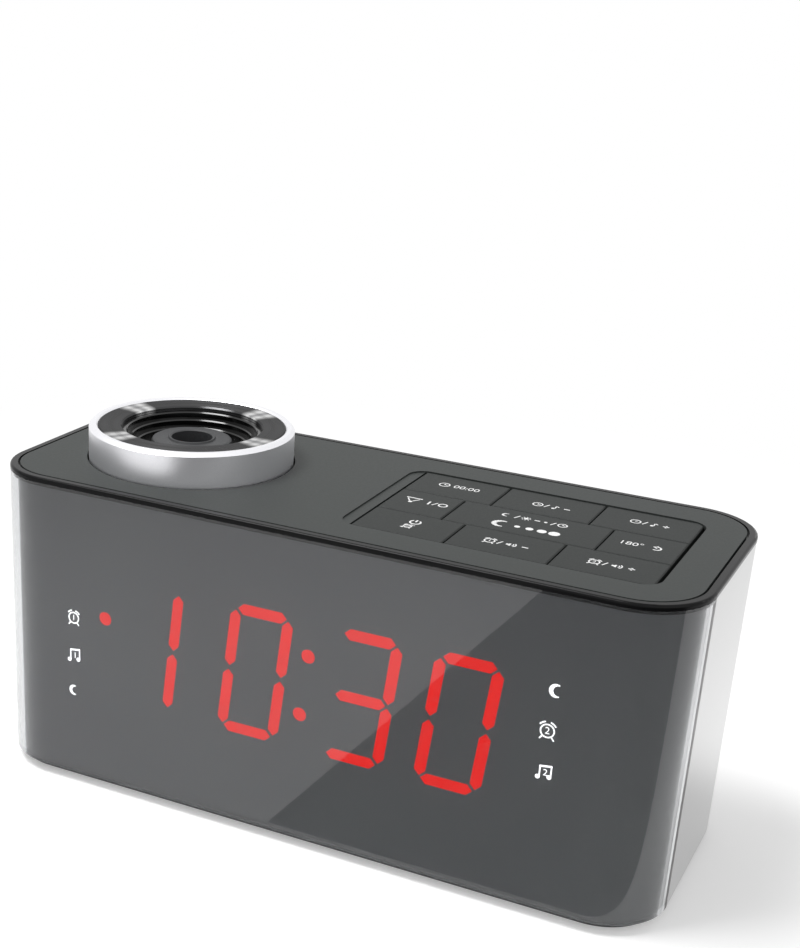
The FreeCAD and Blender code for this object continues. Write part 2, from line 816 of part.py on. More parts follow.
# Display
lens_back = case_wall - half_depth
mask_front = lens_back + lens_to_mask
mask_back = mask_front + mask_thickness
module_front = lens_back + lens_to_bars + segment_proud
module_back = module_front + module_depth
slant = math.tan(math.radians(digit_slant))
mask_half = half_width - mask_end_inset
mask_top = top - mask_top_inset
digit_middle = top - digit_drop
window_bottom = digit_middle - window_below
window_top = digit_middle + window_above
boss_low = base_bottom + base_floor + screw_pad_height
boss_high = boss_low + screw_boss_height
mask_bottom = wall_bottom + tray_wall_height + mask_chin_gap
post_heights = (window_bottom - post_from_window, window_top + post_from_window)


def lean(x, z):
    """Where a display point lies once the digits lean to the right."""
    return x + (z - digit_middle) * slant, z


def segment(x0, z0, x1, z1):
    """One bar of a digit, pointed at both ends, as a thin prism."""
    length = math.hypot(x1 - x0, z1 - z0)
    ux, uz = (x1 - x0) / length, (z1 - z0) / length
    h = segment_width / 2
    a, b = segment_gap, length - segment_gap
    local = [(a, 0), (a + h, h), (b - h, h), (b, 0), (b - h, -h), (a + h, -h)]
    points = []
    for along, across in local:
        x, z = lean(x0 + ux * along - uz * across, z0 + uz * along + ux * across)
        points.append(FreeCAD.Vector(x, module_front - segment_proud, z))
    face = Part.Face(Part.makePolygon(points + points[:1]))
    return face.extrude(FreeCAD.Vector(0, segment_proud, 0))


def digit_bars(centre_x):
    """The seven bars of one digit by their usual letters."""
    w = digit_width / 2
    h = (digit_height - segment_width) / 2
    x0, x1 = centre_x - w, centre_x + w
    low, mid, high = digit_middle - h, digit_middle, digit_middle + h
    return {
        "a": (x0, high, x1, high), "b": (x1, high, x1, mid), "c": (x1, mid, x1, low), "d": (x0, low, x1, low),
        "e": (x0, mid, x0, low), "f": (x0, high, x0, mid), "g": (x0, mid, x1, mid),
    }


lit_bars = ["bc", "abcdef", "abcdg", "abcdef"]


def segments(lit):
    found = []
    for centre, on in zip(digit_centres, lit_bars):
        for letter, ends in digit_bars(centre).items():
            if (letter in on) == lit:
                found.append(segment(*ends))
    return found


def dot(x, z):
    return rod_y(dot_radius, module_front - segment_proud, module_front, x, z)


def colon_dots():
    return [dot(*lean(colon_x, digit_middle + side * colon_spread)) for side in (-1, 1)]


def lamps():
    """The small round lamps beside the printed signs. The first of them is lit."""
    left = [dot(lamp_left, digit_middle + rise) for rise in lamp_rises_left]
    return left + [dot(lamp_right, digit_middle + rise) for rise in lamp_rises_right]


def display_module():
    return block(window_left + module_fit, window_right - module_fit, module_front, module_back,
                 window_bottom + module_fit, window_top - module_fit)


def lens_film():
    """The grey film on the back of the lens, with a window over each bar, dot and lamp."""
    inset = case_wall + film_gap
    film = band(inset, inset + film_thickness, wall_bottom, lap_bottom - film_gap).common(front_side)
    windows = Part.makeCompound(segments(True) + segments(False) + colon_dots() + lamps())
    windows.translate(FreeCAD.Vector(0, -film_window_reach, 0))
    return film.cut(windows)


def display_mask():
    """The black chassis behind the tinted lens: it frames the display, holds its board and takes two screws."""
    plate = block(-mask_half, mask_half, mask_front, mask_back, mask_bottom, mask_top)
    plate = plate.cut(block(window_left, window_right, -body_depth, 0, window_bottom, window_top))
    pieces = [plate]
    post_x = mask_half - post_side_inset
    for x in (-post_x, post_x):
        for z in post_heights:
            pieces.append(rod_y(post_radius, mask_front, module_back, x, z))
    room = slab(case_wall + lens_to_mask, 0, top)
    for side in (-1, 1):
        centre = FreeCAD.Vector(side * screw_x, screw_front_y, 0)
        reach = sorted((side * (mask_half - screw_boss), side * screw_x))
        arm = block(reach[0], reach[1], mask_front, screw_front_y, mask_bottom, boss_high)
        pieces += [drum(screw_boss, boss_low, boss_high, centre), arm.common(room)]
    mask = joined(pieces)
    for side in (-1, 1):
        centre = FreeCAD.Vector(side * screw_x, screw_front_y, 0)
        mask = mask.cut(drum(screw_shank + screw_clearance, 0, boss_high - 1, centre))
    return mask


def display_board():
    low = boss_high + lens_to_mask
    high = mask_top - mask_thickness
    return block(-mask_half, mask_half, module_back, module_back + board_thickness, low, high)


# Speaker, on the rear wall
wall_in = half_depth - case_wall


def turned_y(profile, x, z):
    """A solid of revolution about an axis along the depth, from points (radius, y)."""
    points = [FreeCAD.Vector(x + r, y, z) for r, y in profile]
    face = Part.Face(Part.makePolygon(points + points[:1]))
    return face.revolve(FreeCAD.Vector(x, 0, z), FreeCAD.Vector(0, 1, 0), 360)


flange_back = wall_in - gasket_thickness
flange_front = flange_back - speaker_flange
basket_end = flange_back - speaker_depth


def speaker_gasket():
    profile = [(speaker_radius - gasket_width, flange_back), (speaker_radius, flange_back),
               (speaker_radius, wall_in), (speaker_radius - gasket_width, wall_in)]
    return turned_y(profile, speaker_x, speaker_z)


def speaker_basket():
    t = basket_wall
    shoulder = speaker_radius - gasket_width
    profile = [(shoulder, flange_back), (speaker_radius, flange_back), (speaker_radius, flange_front),
               (shoulder + t, flange_front), (magnet_radius + t, basket_end), (5.0, basket_end),
               (5.0, basket_end + t), (magnet_radius, basket_end + t), (shoulder, flange_front - t)]
    return turned_y(profile, speaker_x, speaker_z)


def speaker_cone():
    t = cone_thickness
    edge = speaker_radius - gasket_width - 0.2
    deep = basket_end + basket_wall + 2.0
    profile = [(0.001, deep + 2.5), (dust_cap_radius * 0.7, deep + 1.8), (dust_cap_radius, deep),
               (edge - 3, flange_back - 1.2), (edge - 1.5, flange_back - 0.6), (edge, flange_back - 1.2),
               (edge, flange_back - 1.2 - t), (edge - 1.5, flange_back - 0.6 - t), (edge - 3, flange_back - 1.2 - 2 * t),
               (dust_cap_radius, deep - 2 * t), (4.0, deep - 2 * t), (4.0, basket_end + basket_wall + 0.3),
               (3.4, basket_end + basket_wall + 0.3), (3.4, deep), (0.001, deep)]
    return turned_y(profile, speaker_x, speaker_z)


def speaker_magnet():
    return rod_y(magnet_radius, basket_end - magnet_thickness, basket_end, speaker_x, speaker_z)


# Boards at the bottom
board_low = base_bottom + base_floor + main_board_post
board_top = board_low + board_thickness


def main_board():
    return block(main_board_left, main_board_right, main_board_front, main_board_back, board_low, board_top)


def board_components():
    """The radio and clock chips, a coil can and the smoothing capacitors."""
    parts = []
    for along, back, width, depth, height in (radio_chip, clock_chip, tuner_coil):
        x = main_board_left + along
        y = main_board_front + back
        parts.append(block(x - width / 2, x + width / 2, y - depth / 2, y + depth / 2, board_top, board_top + height))
    for along, back, radius, height in capacitors:
        centre = FreeCAD.Vector(main_board_left + along, main_board_front + back, 0)
        parts.append(drum(radius, board_top, board_top + height, centre))
    return parts


def dc_inlet():
    """The power socket: a block with a blind bore that opens at the rear, and its centre pin."""
    z = board_top + inlet_height / 2
    mouth = wall_in - 0.2
    w = inlet_side / 2
    body = block(inlet_x - w, inlet_x + w, mouth - inlet_depth, mouth, board_top, board_top + inlet_height)
    body = body.cut(rod_y(inlet_bore, mouth - inlet_bore_depth, mouth + 1, inlet_x, z))
    return joined([body, rod_y(inlet_pin, mouth - inlet_bore_depth - 1, mouth - 1.0, inlet_x, z)])


def antenna_bush():
    z = inlet_height_above_table()
    flange = rod_y(antenna_hole + antenna_flange - slip_gap, half_depth - antenna_flange, half_depth, antenna_x, z)
    sleeve = rod_y(antenna_hole - slip_gap, wall_in - antenna_flange, half_depth, antenna_x, z)
    return joined([flange, sleeve]).cut(rod_y(antenna_bore, 0, body_depth, antenna_x, z))


cell_low = base_bottom + door_thickness + door_gap + contact_thickness + cell_seat
cell_top = cell_low + cell_thickness - cell_play


def coin_cell():
    return drum(cell_radius, cell_low, cell_top, FreeCAD.Vector(door_x, 0, 0))


def cell_contact():
    """The spring washer between the cell and the roof of its cup."""
    roof = base_bottom + base_floor + cell_thickness
    return tube(contact_outer, contact_inner, cell_top, roof, FreeCAD.Vector(door_x, 0, 0))


def main():
    os.makedirs("parts", exist_ok=True)
    save("front_lens", front_lens())
    save("rear_case", rear_case())
    save("socket_plate", socket_plate())
    save("top_rim", top_rim())
    save("top_panel", top_panel())
    save("base_plate", base_plate())
    save("battery_door", battery_door())
    save("rubber_feet", *rubber_feet())
    save("base_screws", *base_screws())
    for name, x0, x1, y0, y1 in key_cells():
        save(name, key(x0, x1, y0, y1))
    save("key_frame", key_frame())
    save("key_board", key_board())
    save("tact_switches", *tact_switches())
    save("focus_ring", focus_ring())
    save("bezel_disc", bezel_disc())
    save("step_baffle", step_baffle())
    save("drive_sleeve", drive_sleeve())
    save("lens_barrel", lens_barrel())
    save("projection_lens", projection_lens())
    save("light_box", light_box())
    save("picture_slide", picture_slide())
    save("condenser_lens", condenser_lens())
    save("projector_board", projector_board())
    save("projector_led", projector_led())
    save("lens_film", lens_film())
    save("display_mask", display_mask())
    save("display_module", display_module())
    lamp_dots = lamps()
    save("segments_lit", *(segments(True) + colon_dots() + lamp_dots[:1]))
    save("segments_dark", *(segments(False) + lamp_dots[1:]))
    save("display_board", display_board())
    save("speaker_gasket", speaker_gasket())
    save("speaker_basket", speaker_basket())
    save("speaker_cone", speaker_cone())
    save("speaker_magnet", speaker_magnet())
    save("main_board", main_board())
    save("board_components", *board_components())
    save("dc_inlet", dc_inlet())
    save("antenna_bush", antenna_bush())
    save("coin_cell", coin_cell())
    save("cell_contact", cell_contact())


main()
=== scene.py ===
import json
import math

import bmesh
import bpy
from mathutils import Matrix, Vector


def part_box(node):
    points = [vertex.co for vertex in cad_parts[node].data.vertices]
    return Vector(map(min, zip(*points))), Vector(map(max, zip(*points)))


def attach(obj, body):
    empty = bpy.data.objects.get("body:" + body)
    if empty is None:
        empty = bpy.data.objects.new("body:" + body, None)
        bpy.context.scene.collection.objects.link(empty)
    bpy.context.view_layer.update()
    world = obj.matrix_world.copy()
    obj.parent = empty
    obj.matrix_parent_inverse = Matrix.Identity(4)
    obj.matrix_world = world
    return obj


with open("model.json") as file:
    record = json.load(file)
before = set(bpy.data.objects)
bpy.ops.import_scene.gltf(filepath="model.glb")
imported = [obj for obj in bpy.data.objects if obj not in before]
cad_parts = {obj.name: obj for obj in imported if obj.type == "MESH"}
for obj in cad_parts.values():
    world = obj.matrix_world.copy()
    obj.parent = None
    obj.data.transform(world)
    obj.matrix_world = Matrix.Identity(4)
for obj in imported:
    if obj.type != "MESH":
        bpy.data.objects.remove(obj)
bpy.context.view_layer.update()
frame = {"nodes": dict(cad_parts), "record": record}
nodes = frame["nodes"]
mm = 0.001
print("stage 1: the CAD frame is in")


# Small helpers

def linearColor(code):  # "#rrggbb" as it looks on screen, to the linear values that shaders use
    channels = [int(code[i:i + 2], 16) / 255 for i in (1, 3, 5)]
    linear = [c / 12.92 if c <= 0.04045 else ((c + 0.055) / 1.055) ** 2.4 for c in channels]
    return (*linear, 1.0)


def addNode(tree, kind, settings=None, links=None):  # one node, its values, and what feeds it
    node = tree.nodes.new(kind)
    for name, value in (settings or {}).items():
        if isinstance(name, int) or name in node.inputs:
            node.inputs[name].default_value = value
        else:
            setattr(node, name, value)
    for name, socket in (links or {}).items():
        tree.links.new(socket, node.inputs[name])
    return node


def startMaterial(name, values):  # an empty material with one Principled shader
    material = bpy.data.materials.new(name)
    material.use_nodes = True
    tree = material.node_tree
    tree.nodes.clear()
    shader = addNode(tree, "ShaderNodeBsdfPrincipled", values)
    addNode(tree, "ShaderNodeOutputMaterial", links={"Surface": shader.outputs[0]})
    return material, tree, shader


def addPiece(name, shape, material):  # a finished bmesh becomes an object of the scene
    mesh = bpy.data.meshes.new(name)
    shape.to_mesh(mesh)
    shape.free()
    mesh.materials.append(material)
    piece = bpy.data.objects.new(name, mesh)
    bpy.context.scene.collection.objects.link(piece)
    return piece


noiseLow, noiseHigh = 0.3, 0.7  # most of a noise texture's values lie between these


def perMm(size):  # a texture scale that makes one cell about this many millimetres
    return 1.0 / (size * mm)


def objectNoise(tree, sizeMm, detail=2.0, roughness=0.5):
    place = addNode(tree, "ShaderNodeTexCoord")
    return addNode(tree, "ShaderNodeTexNoise",
                   {"Scale": perMm(sizeMm), "Detail": detail, "Roughness": roughness},
                   {"Vector": place.outputs["Object"]})


def spread(tree, socket, low, high, fromLow=noiseLow, fromHigh=noiseHigh):  # one range of values onto another
    node = addNode(tree, "ShaderNodeMapRange",
                   {"From Min": fromLow, "From Max": fromHigh, "To Min": low, "To Max": high},
                   {"Value": socket})
    return node.outputs[0]


def twoTone(tree, socket, dark, light):  # a noise turned into two close colours
    ramp = addNode(tree, "ShaderNodeValToRGB", links={"Fac": socket})
    ramp.color_ramp.elements[0].position = noiseLow
    ramp.color_ramp.elements[0].color = linearColor(dark)
    ramp.color_ramp.elements[1].position = noiseHigh
    ramp.color_ramp.elements[1].color = linearColor(light)
    return ramp.outputs["Color"]


def grainBump(tree, shader, socket, depthMm, strength):
    bump = addNode(tree, "ShaderNodeBump", {"Strength": strength, "Distance": depthMm * mm},
                   {"Height": socket})
    tree.links.new(bump.outputs[0], shader.inputs["Normal"])


# Materials

def noisyFinish(name, look):
    # one noise in object space drives the tone, the gloss and a faint relief, so that the three agree
    material, tree, shader = startMaterial(name, {"IOR": 1.5, **look.get("values", {})})
    noise = objectNoise(tree, look["cellMm"], *look.get("noise", (3.0, 0.6)))  # its detail and its roughness
    tones = twoTone(tree, noise.outputs[0], look["dark"], look["light"])
    tree.links.new(tones, shader.inputs["Base Color"])
    if "roughness" in look:
        tree.links.new(spread(tree, noise.outputs[0], *look["roughness"]), shader.inputs["Roughness"])
    if "relief" in look:  # its depth in mm, and how strongly it shows
        grainBump(tree, shader, noise.outputs[0], *look["relief"])
    return material


looks = {
    # polished ABS: a piano-black skin with faint long waves from cooling
    "polishedBlackAbs": {"dark": "#0d0d0e", "light": "#111112", "cellMm": 22.0, "relief": (0.02, 0.05),
                         "roughness": (0.07, 0.1),
                         "values": {"IOR": 1.54, "Coat Weight": 1.0, "Coat Roughness": 0.05}},
    # the rim's ABS is polished as well, under a thin matt lacquer that holds its glare down
    "rimLacquerAbs": {"dark": "#0c0c0d", "light": "#111112", "cellMm": 22.0, "relief": (0.02, 0.03),
                      "roughness": (0.16, 0.22), "values": {"Specular IOR Level": 0.1}},
    # spark-eroded ABS: the sandy grain of the top, drawn about twice as coarse as it is, to show
    "sparkGrainAbs": {"dark": "#323534", "light": "#3b3e3d", "cellMm": 0.7, "relief": (0.05, 0.35),
                      "roughness": (0.46, 0.58), "values": {"Specular IOR Level": 0.18}},
    # the keys come from another tool with a finer grain, so they look a touch darker and smoother
    "fineGrainKeyAbs": {"dark": "#222524", "light": "#2a2d2c", "cellMm": 0.55, "relief": (0.04, 0.3),
                        "roughness": (0.44, 0.54), "values": {"Specular IOR Level": 0.15}},
    # plain matt ABS of the base and the battery door
    "mattBaseAbs": {"dark": "#2b2c2d", "light": "#353637", "cellMm": 0.9, "relief": (0.05, 0.3),
                    "roughness": (0.5, 0.62)},
    # inside parts in unpolished black ABS
    "innerBlackAbs": {"dark": "#101010", "light": "#181818", "cellMm": 1.2, "relief": (0.04, 0.2),
                      "roughness": (0.55, 0.7)},
    # gloss ABS of the light well: dark walls, bright lines on the noses of the steps
    "glossWellAbs": {"dark": "#070707", "light": "#0b0b0b", "cellMm": 6.0, "relief": (0.01, 0.05),
                     "roughness": (0.12, 0.18), "values": {"IOR": 1.54}},
    # matt barrel face, finely grained so that stray light dies on it
    "mattBarrelAbs": {"dark": "#2a2b2d", "light": "#343537", "cellMm": 0.5, "relief": (0.04, 0.35),
                      "roughness": (0.45, 0.6)},
    # soft thermoplastic rubber of the feet, the gasket and the wire bush
    "tpeRubber": {"dark": "#1b1b1b", "light": "#262626", "cellMm": 0.8, "relief": (0.05, 0.4),
                  "roughness": (0.75, 0.9)},
    # epoxy and nylon bodies of chips, switches and sockets
    "mouldedEpoxy": {"dark": "#191919", "light": "#242424", "cellMm": 0.6, "relief": (0.02, 0.25),
                     "roughness": (0.45, 0.6), "values": {"IOR": 1.55}},
    # the display's reflector block, sprayed matt black at its face
    "reflectorBlock": {"dark": "#090909", "light": "#0f0f0f", "cellMm": 1.0, "relief": (0.02, 0.2),
                       "roughness": (0.6, 0.75)},
    # a bar of the display that is off: a grey diffuser that nearly matches the film round it
    "unlitDiffuser": {"dark": "#7c7d7e", "light": "#7f8081", "cellMm": 1.0, "relief": (0.01, 0.1),
                      "roughness": (0.4, 0.5)},
    # grey screen-printed film behind the lens: flat and matt, it hides the works and gives the front its tone
    "printedGreyFilm": {"dark": "#7c7d7e", "light": "#7f8081", "cellMm": 60.0, "roughness": (0.7, 0.8)},
    # pressed paper pulp of the speaker's cone, with fibres
    "pressedPaper": {"dark": "#141312", "light": "#24211f", "cellMm": 0.5, "relief": (0.08, 0.6),
                     "roughness": (0.8, 0.95), "values": {"IOR": 1.45}},
    # sintered ferrite: a dull stony grey-black
    "sinteredFerrite": {"dark": "#242426", "light": "#353538", "cellMm": 0.9, "relief": (0.05, 0.5),
                        "roughness": (0.6, 0.75), "values": {"IOR": 1.6}},
    # tinted PMMA, 2 mm thick and polished on both faces: it mirrors the room and dims what lies behind it
    "smokedAcrylic": {"dark": "#cccdcf", "light": "#cfd1d2", "cellMm": 60.0, "noise": (1.0, 0.5),
                      "values": {"IOR": 1.49, "Transmission Weight": 1.0, "Roughness": 0.0}},
    # silver lacquer over turned ABS: pearly, with a fine sparkle of metal flake under a satin coat
    "satinSilverLacquer": {"dark": "#ececf0", "light": "#f3f3f6", "cellMm": 0.25, "noise": (2.0, 0.7),
                           "relief": (0.01, 0.02), "roughness": (0.32, 0.35), "values": {"Metallic": 0.95}},
    # ground and polished crown glass with a faint bloom
    "crownGlass": {"dark": "#e8edf2", "light": "#f4f7fa", "cellMm": 4.0, "noise": (1.0, 0.5),
                   "roughness": (0.01, 0.04), "values": {"IOR": 1.52, "Transmission Weight": 1.0}},
    # zinc-plated or nickel-plated steel: bright, with a faint crystal mottle
    "platedSteel": {"dark": "#9a9b9d", "light": "#c2c3c5", "cellMm": 1.1, "noise": (3.0, 0.5),
                    "relief": (0.01, 0.15), "roughness": (0.25, 0.4), "values": {"Metallic": 1.0}},
    # pad-printed white ink: thin and matt, with pinholes where it meets the grain
    "padPrintInk": {"dark": "#dcdcdc", "light": "#fafafa", "cellMm": 0.3, "noise": (2.0, 0.5),
                    "roughness": (0.5, 0.7)},
}
materials = {name: noisyFinish(name, look) for name, look in looks.items()}


def spunAluminium(look):
    # black-dyed aluminium, faced on a lathe: its fine rings break each highlight into pale bow-ties round the
    # axis, painted here as highlights: pale sectors in the base colour, because soft lamps are too large to
    # make them
    material, tree, shader = startMaterial("spunBlackAluminium", {
        "Metallic": 1.0, "Anisotropic": look["anisotropy"], "Anisotropic Rotation": 0.25,
        "Specular Tint": linearColor(look["edge"])})
    tangent = addNode(tree, "ShaderNodeTangent", {"direction_type": "RADIAL", "axis": "Z"})
    tree.links.new(tangent.outputs[0], shader.inputs["Tangent"])
    place = addNode(tree, "ShaderNodeTexCoord")
    centred = addNode(tree, "ShaderNodeMapping", {"Location": [-c for c in look["centre"]]},
                      {"Vector": place.outputs["Object"]})
    sweep = addNode(tree, "ShaderNodeTexGradient", {"gradient_type": "RADIAL"},
                    {"Vector": centred.outputs[0]})
    paintedGlintSectors = addNode(tree, "ShaderNodeValToRGB", links={"Fac": sweep.outputs["Fac"]})
    ramp = paintedGlintSectors.color_ramp
    for end in ramp.elements:
        end.color = linearColor(look["dye"])
    # painted highlights: each glint is a band of pale stops in the base colour's ramp, fixed to the part
    for angle, half in look["glints"]:
        for share, tone in look["profile"]:
            stop = ramp.elements.new(((angle + share * half) / 360 + 0.5) % 1.0)
            stop.color = linearColor(look[tone])
    rings = addNode(tree, "ShaderNodeTexWave", {
        "wave_type": "RINGS", "rings_direction": "Z", "Scale": perMm(look["ringMm"]) / look["waveFactor"],
        "Distortion": look["waver"], "Detail": 2.0}, {"Vector": centred.outputs[0]})
    turned = addNode(tree, "ShaderNodeMix",
                     {"data_type": "RGBA", "blend_type": "MULTIPLY", 0: look["ringShare"]})
    tree.links.new(paintedGlintSectors.outputs["Color"], turned.inputs[6])
    tree.links.new(rings.outputs["Color"], turned.inputs[7])
    tree.links.new(turned.outputs[2], shader.inputs["Base Color"])
    tree.links.new(spread(tree, rings.outputs["Fac"], *look["roughness"]), shader.inputs["Roughness"])
    return material


ringLow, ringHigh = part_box("focus_ring")
spunLook = {
    "anisotropy": 0.8, "roughness": (0.26, 0.34), "centre": (ringLow + ringHigh) / 2,
    "ringMm": 0.5, "ringShare": 0.25, "waver": 0.4, "waveFactor": 20,  # Blender's own factor on a wave's scale
    "dye": "#505051", "glint": "#ffffff", "halfGlint": "#a8a8aa", "edge": "#c4c4c4",
    # where each painted glint lies, in degrees anticlockwise from +X, and half its width
    "glints": ((164, 12), (-11, 11), (62, 12), (-118, 11)),
    # the painted tones across a glint, from one edge to the other, in shares of its half width
    "profile": ((-1, "dye"), (-0.45, "glint"), (0, "halfGlint"), (0.4, "glint"), (1, "dye")),
}
materials["spunBlackAluminium"] = spunAluminium(spunLook)


def litDiffuser(name, look):
    # a diffuser with its lamp on: an even glow, a shade deeper here and there
    material, tree, shader = startMaterial(name, {
        "Base Color": linearColor(look["body"]), "Roughness": 0.6, "Specular IOR Level": 0.0,
        "Emission Strength": look["strength"]})
    cloud = objectNoise(tree, look["cloudMm"], 1.0)
    glow = twoTone(tree, cloud.outputs[0], look["deep"], look["bright"])
    tree.links.new(glow, shader.inputs["Emission Color"])
    return material


litLooks = {
    # a bar or dot of the display that is lit
    "litRedDiffuser": {"strength": 1.5, "cloudMm": 6.0,
                       "deep": "#e60800", "bright": "#ee0a00", "body": "#2c0400"},
    # a small lamp's sign, lit from behind
    "backlitSign": {"strength": 2.5, "cloudMm": 6.0,
                    "deep": "#eeeeee", "bright": "#ffffff", "body": "#c8c8c8"},
}
for name, look in litLooks.items():
    materials[name] = litDiffuser(name, look)


def solderMask(look):
    # glass-fibre board under green solder mask: the weave shows through, and tracks stand a shade lighter
    material, tree, shader = startMaterial("fr4SolderMask", {
        "IOR": 1.5, "Coat Weight": 0.4, "Coat Roughness": 0.2})
    place = addNode(tree, "ShaderNodeTexCoord")
    tracks = addNode(tree, "ShaderNodeTexVoronoi",
                     {"feature": "DISTANCE_TO_EDGE", "Scale": perMm(look["trackMm"])},
                     {"Vector": place.outputs["Object"]})
    edge = spread(tree, tracks.outputs["Distance"], 1.0, 0.0, *look["trackEdge"])
    tree.links.new(twoTone(tree, edge, look["dark"], look["light"]), shader.inputs["Base Color"])
    weave = objectNoise(tree, look["weaveMm"], 1.0)
    tree.links.new(spread(tree, weave.outputs[0], *look["roughness"]), shader.inputs["Roughness"])
    grainBump(tree, shader, weave.outputs[0], *look["relief"])
    return material


maskLook = {"dark": "#0b3a22", "light": "#14573a", "roughness": (0.25, 0.4), "relief": (0.02, 0.2),
            "weaveMm": 0.8, "trackMm": 4.0, "trackEdge": (0.05, 0.12)}
materials["fr4SolderMask"] = solderMask(maskLook)

finishOf = {
    "smoked_acrylic": "smokedAcrylic", "gloss_black": "polishedBlackAbs", "grained_black": "sparkGrainAbs",
    "grained_key": "fineGrainKeyAbs", "base_black": "mattBaseAbs", "foot_rubber": "tpeRubber",
    "screw_steel": "platedSteel", "inner_black": "innerBlackAbs", "board_green": "fr4SolderMask",
    "switch_black": "mouldedEpoxy", "satin_silver": "satinSilverLacquer", "spun_black": "spunBlackAluminium",
    "funnel_black": "glossWellAbs", "barrel_grey": "mattBarrelAbs", "clear_lens": "crownGlass",
    "led_red": "litRedDiffuser", "led_dark": "unlitDiffuser", "grey_film": "printedGreyFilm",
    "module_black": "reflectorBlock", "paper_black": "pressedPaper", "magnet_dark": "sinteredFerrite",
}
nodeFinish = {"top_rim": "rimLacquerAbs"}  # the nodes whose finish differs from the rest of their slot
for row in frame["record"]["subparts"]:
    finish = nodeFinish.get(row["node"], finishOf[row["material_slot"]])
    for place in nodes[row["node"]].material_slots:
        place.material = materials[finish]
print("stage 2: every CAD node has its finish")


# Signs: small flat prints, drawn in millimetres about their own middle

discSides = 20
arcStep = 15  # degrees between the corners of an arc
figureShare = 0.7  # a figure's height as a share of Blender's text size
fineLine = 0.36  # mm, the stroke of the smaller signs


def addDisc(sign, x, y, radius):
    bmesh.ops.create_circle(sign, cap_ends=True, segments=discSides, radius=radius,
                            matrix=Matrix.Translation((x, y, 0)))


def addArc(sign, x, y, radius, width, start, end):  # angles in degrees, anticlockwise from the right
    turn = Matrix.Rotation(math.radians(start), 3, "Z")
    inner = sign.verts.new(Vector((x, y, 0)) + turn @ Vector((radius - width / 2, 0, 0)))
    outer = sign.verts.new(Vector((x, y, 0)) + turn @ Vector((radius + width / 2, 0, 0)))
    edge = sign.edges.new((inner, outer))
    bmesh.ops.spin(sign, geom=[inner, outer, edge], cent=(x, y, 0), axis=(0, 0, 1),
                   angle=math.radians(end - start), steps=max(4, int((end - start) / arcStep)),
                   use_merge=end - start >= 360)


def addBar(sign, x0, y0, x1, y1, width):
    length = math.hypot(x1 - x0, y1 - y0)
    place = (Matrix.Translation(((x0 + x1) / 2, (y0 + y1) / 2, 0))
             @ Matrix.Rotation(math.atan2(y1 - y0, x1 - x0), 4, "Z")
             @ Matrix.Diagonal((length, width, 1, 1)))
    bmesh.ops.create_grid(sign, x_segments=1, y_segments=1, size=0.5, matrix=place)


def addNumber(sign, text, x, y, height):  # plain figures in Blender's own face
    curve = bpy.data.curves.new("figures", "FONT")
    curve.body = text
    curve.size = height / figureShare
    curve.align_x = "CENTER"
    curve.align_y = "CENTER"
    holder = bpy.data.objects.new("figures", curve)
    bpy.context.scene.collection.objects.link(holder)
    bpy.context.view_layer.update()
    settled = holder.evaluated_get(bpy.context.evaluated_depsgraph_get())
    mesh = bpy.data.meshes.new_from_object(settled)
    mesh.transform(Matrix.Translation((x, y, 0)))
    sign.from_mesh(mesh)
    bpy.data.objects.remove(holder)
    bpy.data.meshes.remove(mesh)


def alarmClock(sign, figure, size, x=0.0, y=0.0):
    addArc(sign, x, y, 1.6 * size, fineLine, 0, 360)
    addArc(sign, x, y, 2.3 * size, fineLine, 35, 75)
    addArc(sign, x, y, 2.3 * size, fineLine, 105, 145)
    for side in (-1, 1):
        addBar(sign, x + 1.1 * side * size, y - 1.4 * size, x + 1.7 * side * size, y - 2.2 * size, fineLine)
    addNumber(sign, figure, x, y, 1.7 * size)


def twinNote(sign, figure):
    addDisc(sign, -1.5, -1.5, 0.6)
    addDisc(sign, 1.3, -1.1, 0.6)
    addBar(sign, -1.1, -1.5, -1.1, 1.5, fineLine)
    addBar(sign, 1.7, -1.1, 1.7, 1.9, fineLine)
    addBar(sign, -1.25, 1.4, 1.85, 1.85, 0.5)
    addNumber(sign, figure, 0.3, -0.1, 1.7)


def note(sign, x):
    addDisc(sign, x - 0.4, -0.9, 0.5)
    addBar(sign, x, -0.9, x, 1.1, 0.34)
    addBar(sign, x, 1.0, x + 0.8, 0.5, 0.4)


def crescent(sign, size, x=0.0, y=0.0):  # short bars round an open arc, which swell towards the middle
    steps, start, sweep = 12, 70, 220  # the angles in degrees
    thin, swell, reach = 0.12 * size, 0.42 * size, 0.8 * size
    corners = []
    for n in range(steps + 1):
        angle = math.radians(start + sweep * n / steps)
        corners.append((x + reach * math.cos(angle), y + reach * math.sin(angle)))
    for n in range(steps):
        width = thin + swell * math.sin(math.pi * (n + 0.5) / steps)
        addBar(sign, *corners[n], *corners[n + 1], width)


def sun(sign, x):
    addDisc(sign, x, 0, 0.6)
    rays, inner, outer = 8, 0.85, 1.25
    for n in range(rays):
        across, up = math.cos(math.tau * n / rays), math.sin(math.tau * n / rays)
        addBar(sign, x + inner * across, inner * up, x + outer * across, outer * up, 0.3)


def clockFace(sign, x, size, hand):  # a dial with one short and one long hand, the long one at this angle
    addArc(sign, x, 0, 1.15 * size, 0.34, 0, 360)
    addBar(sign, x, -0.1, x, 0.6 * size, 0.32)
    addBar(sign, x, 0, x + 0.65 * size * math.cos(hand), 0.65 * size * math.sin(hand), 0.32)


def slash(sign, x):
    addBar(sign, x - 0.45, -1.1, x + 0.45, 1.1, 0.34)


def minusSign(sign, x):
    addBar(sign, x - 0.8, 0, x + 0.8, 0, 0.46)


def plusSign(sign, x):
    addBar(sign, x - 0.8, 0, x + 0.8, 0, 0.46)
    addBar(sign, x, -0.8, x, 0.8, 0.46)


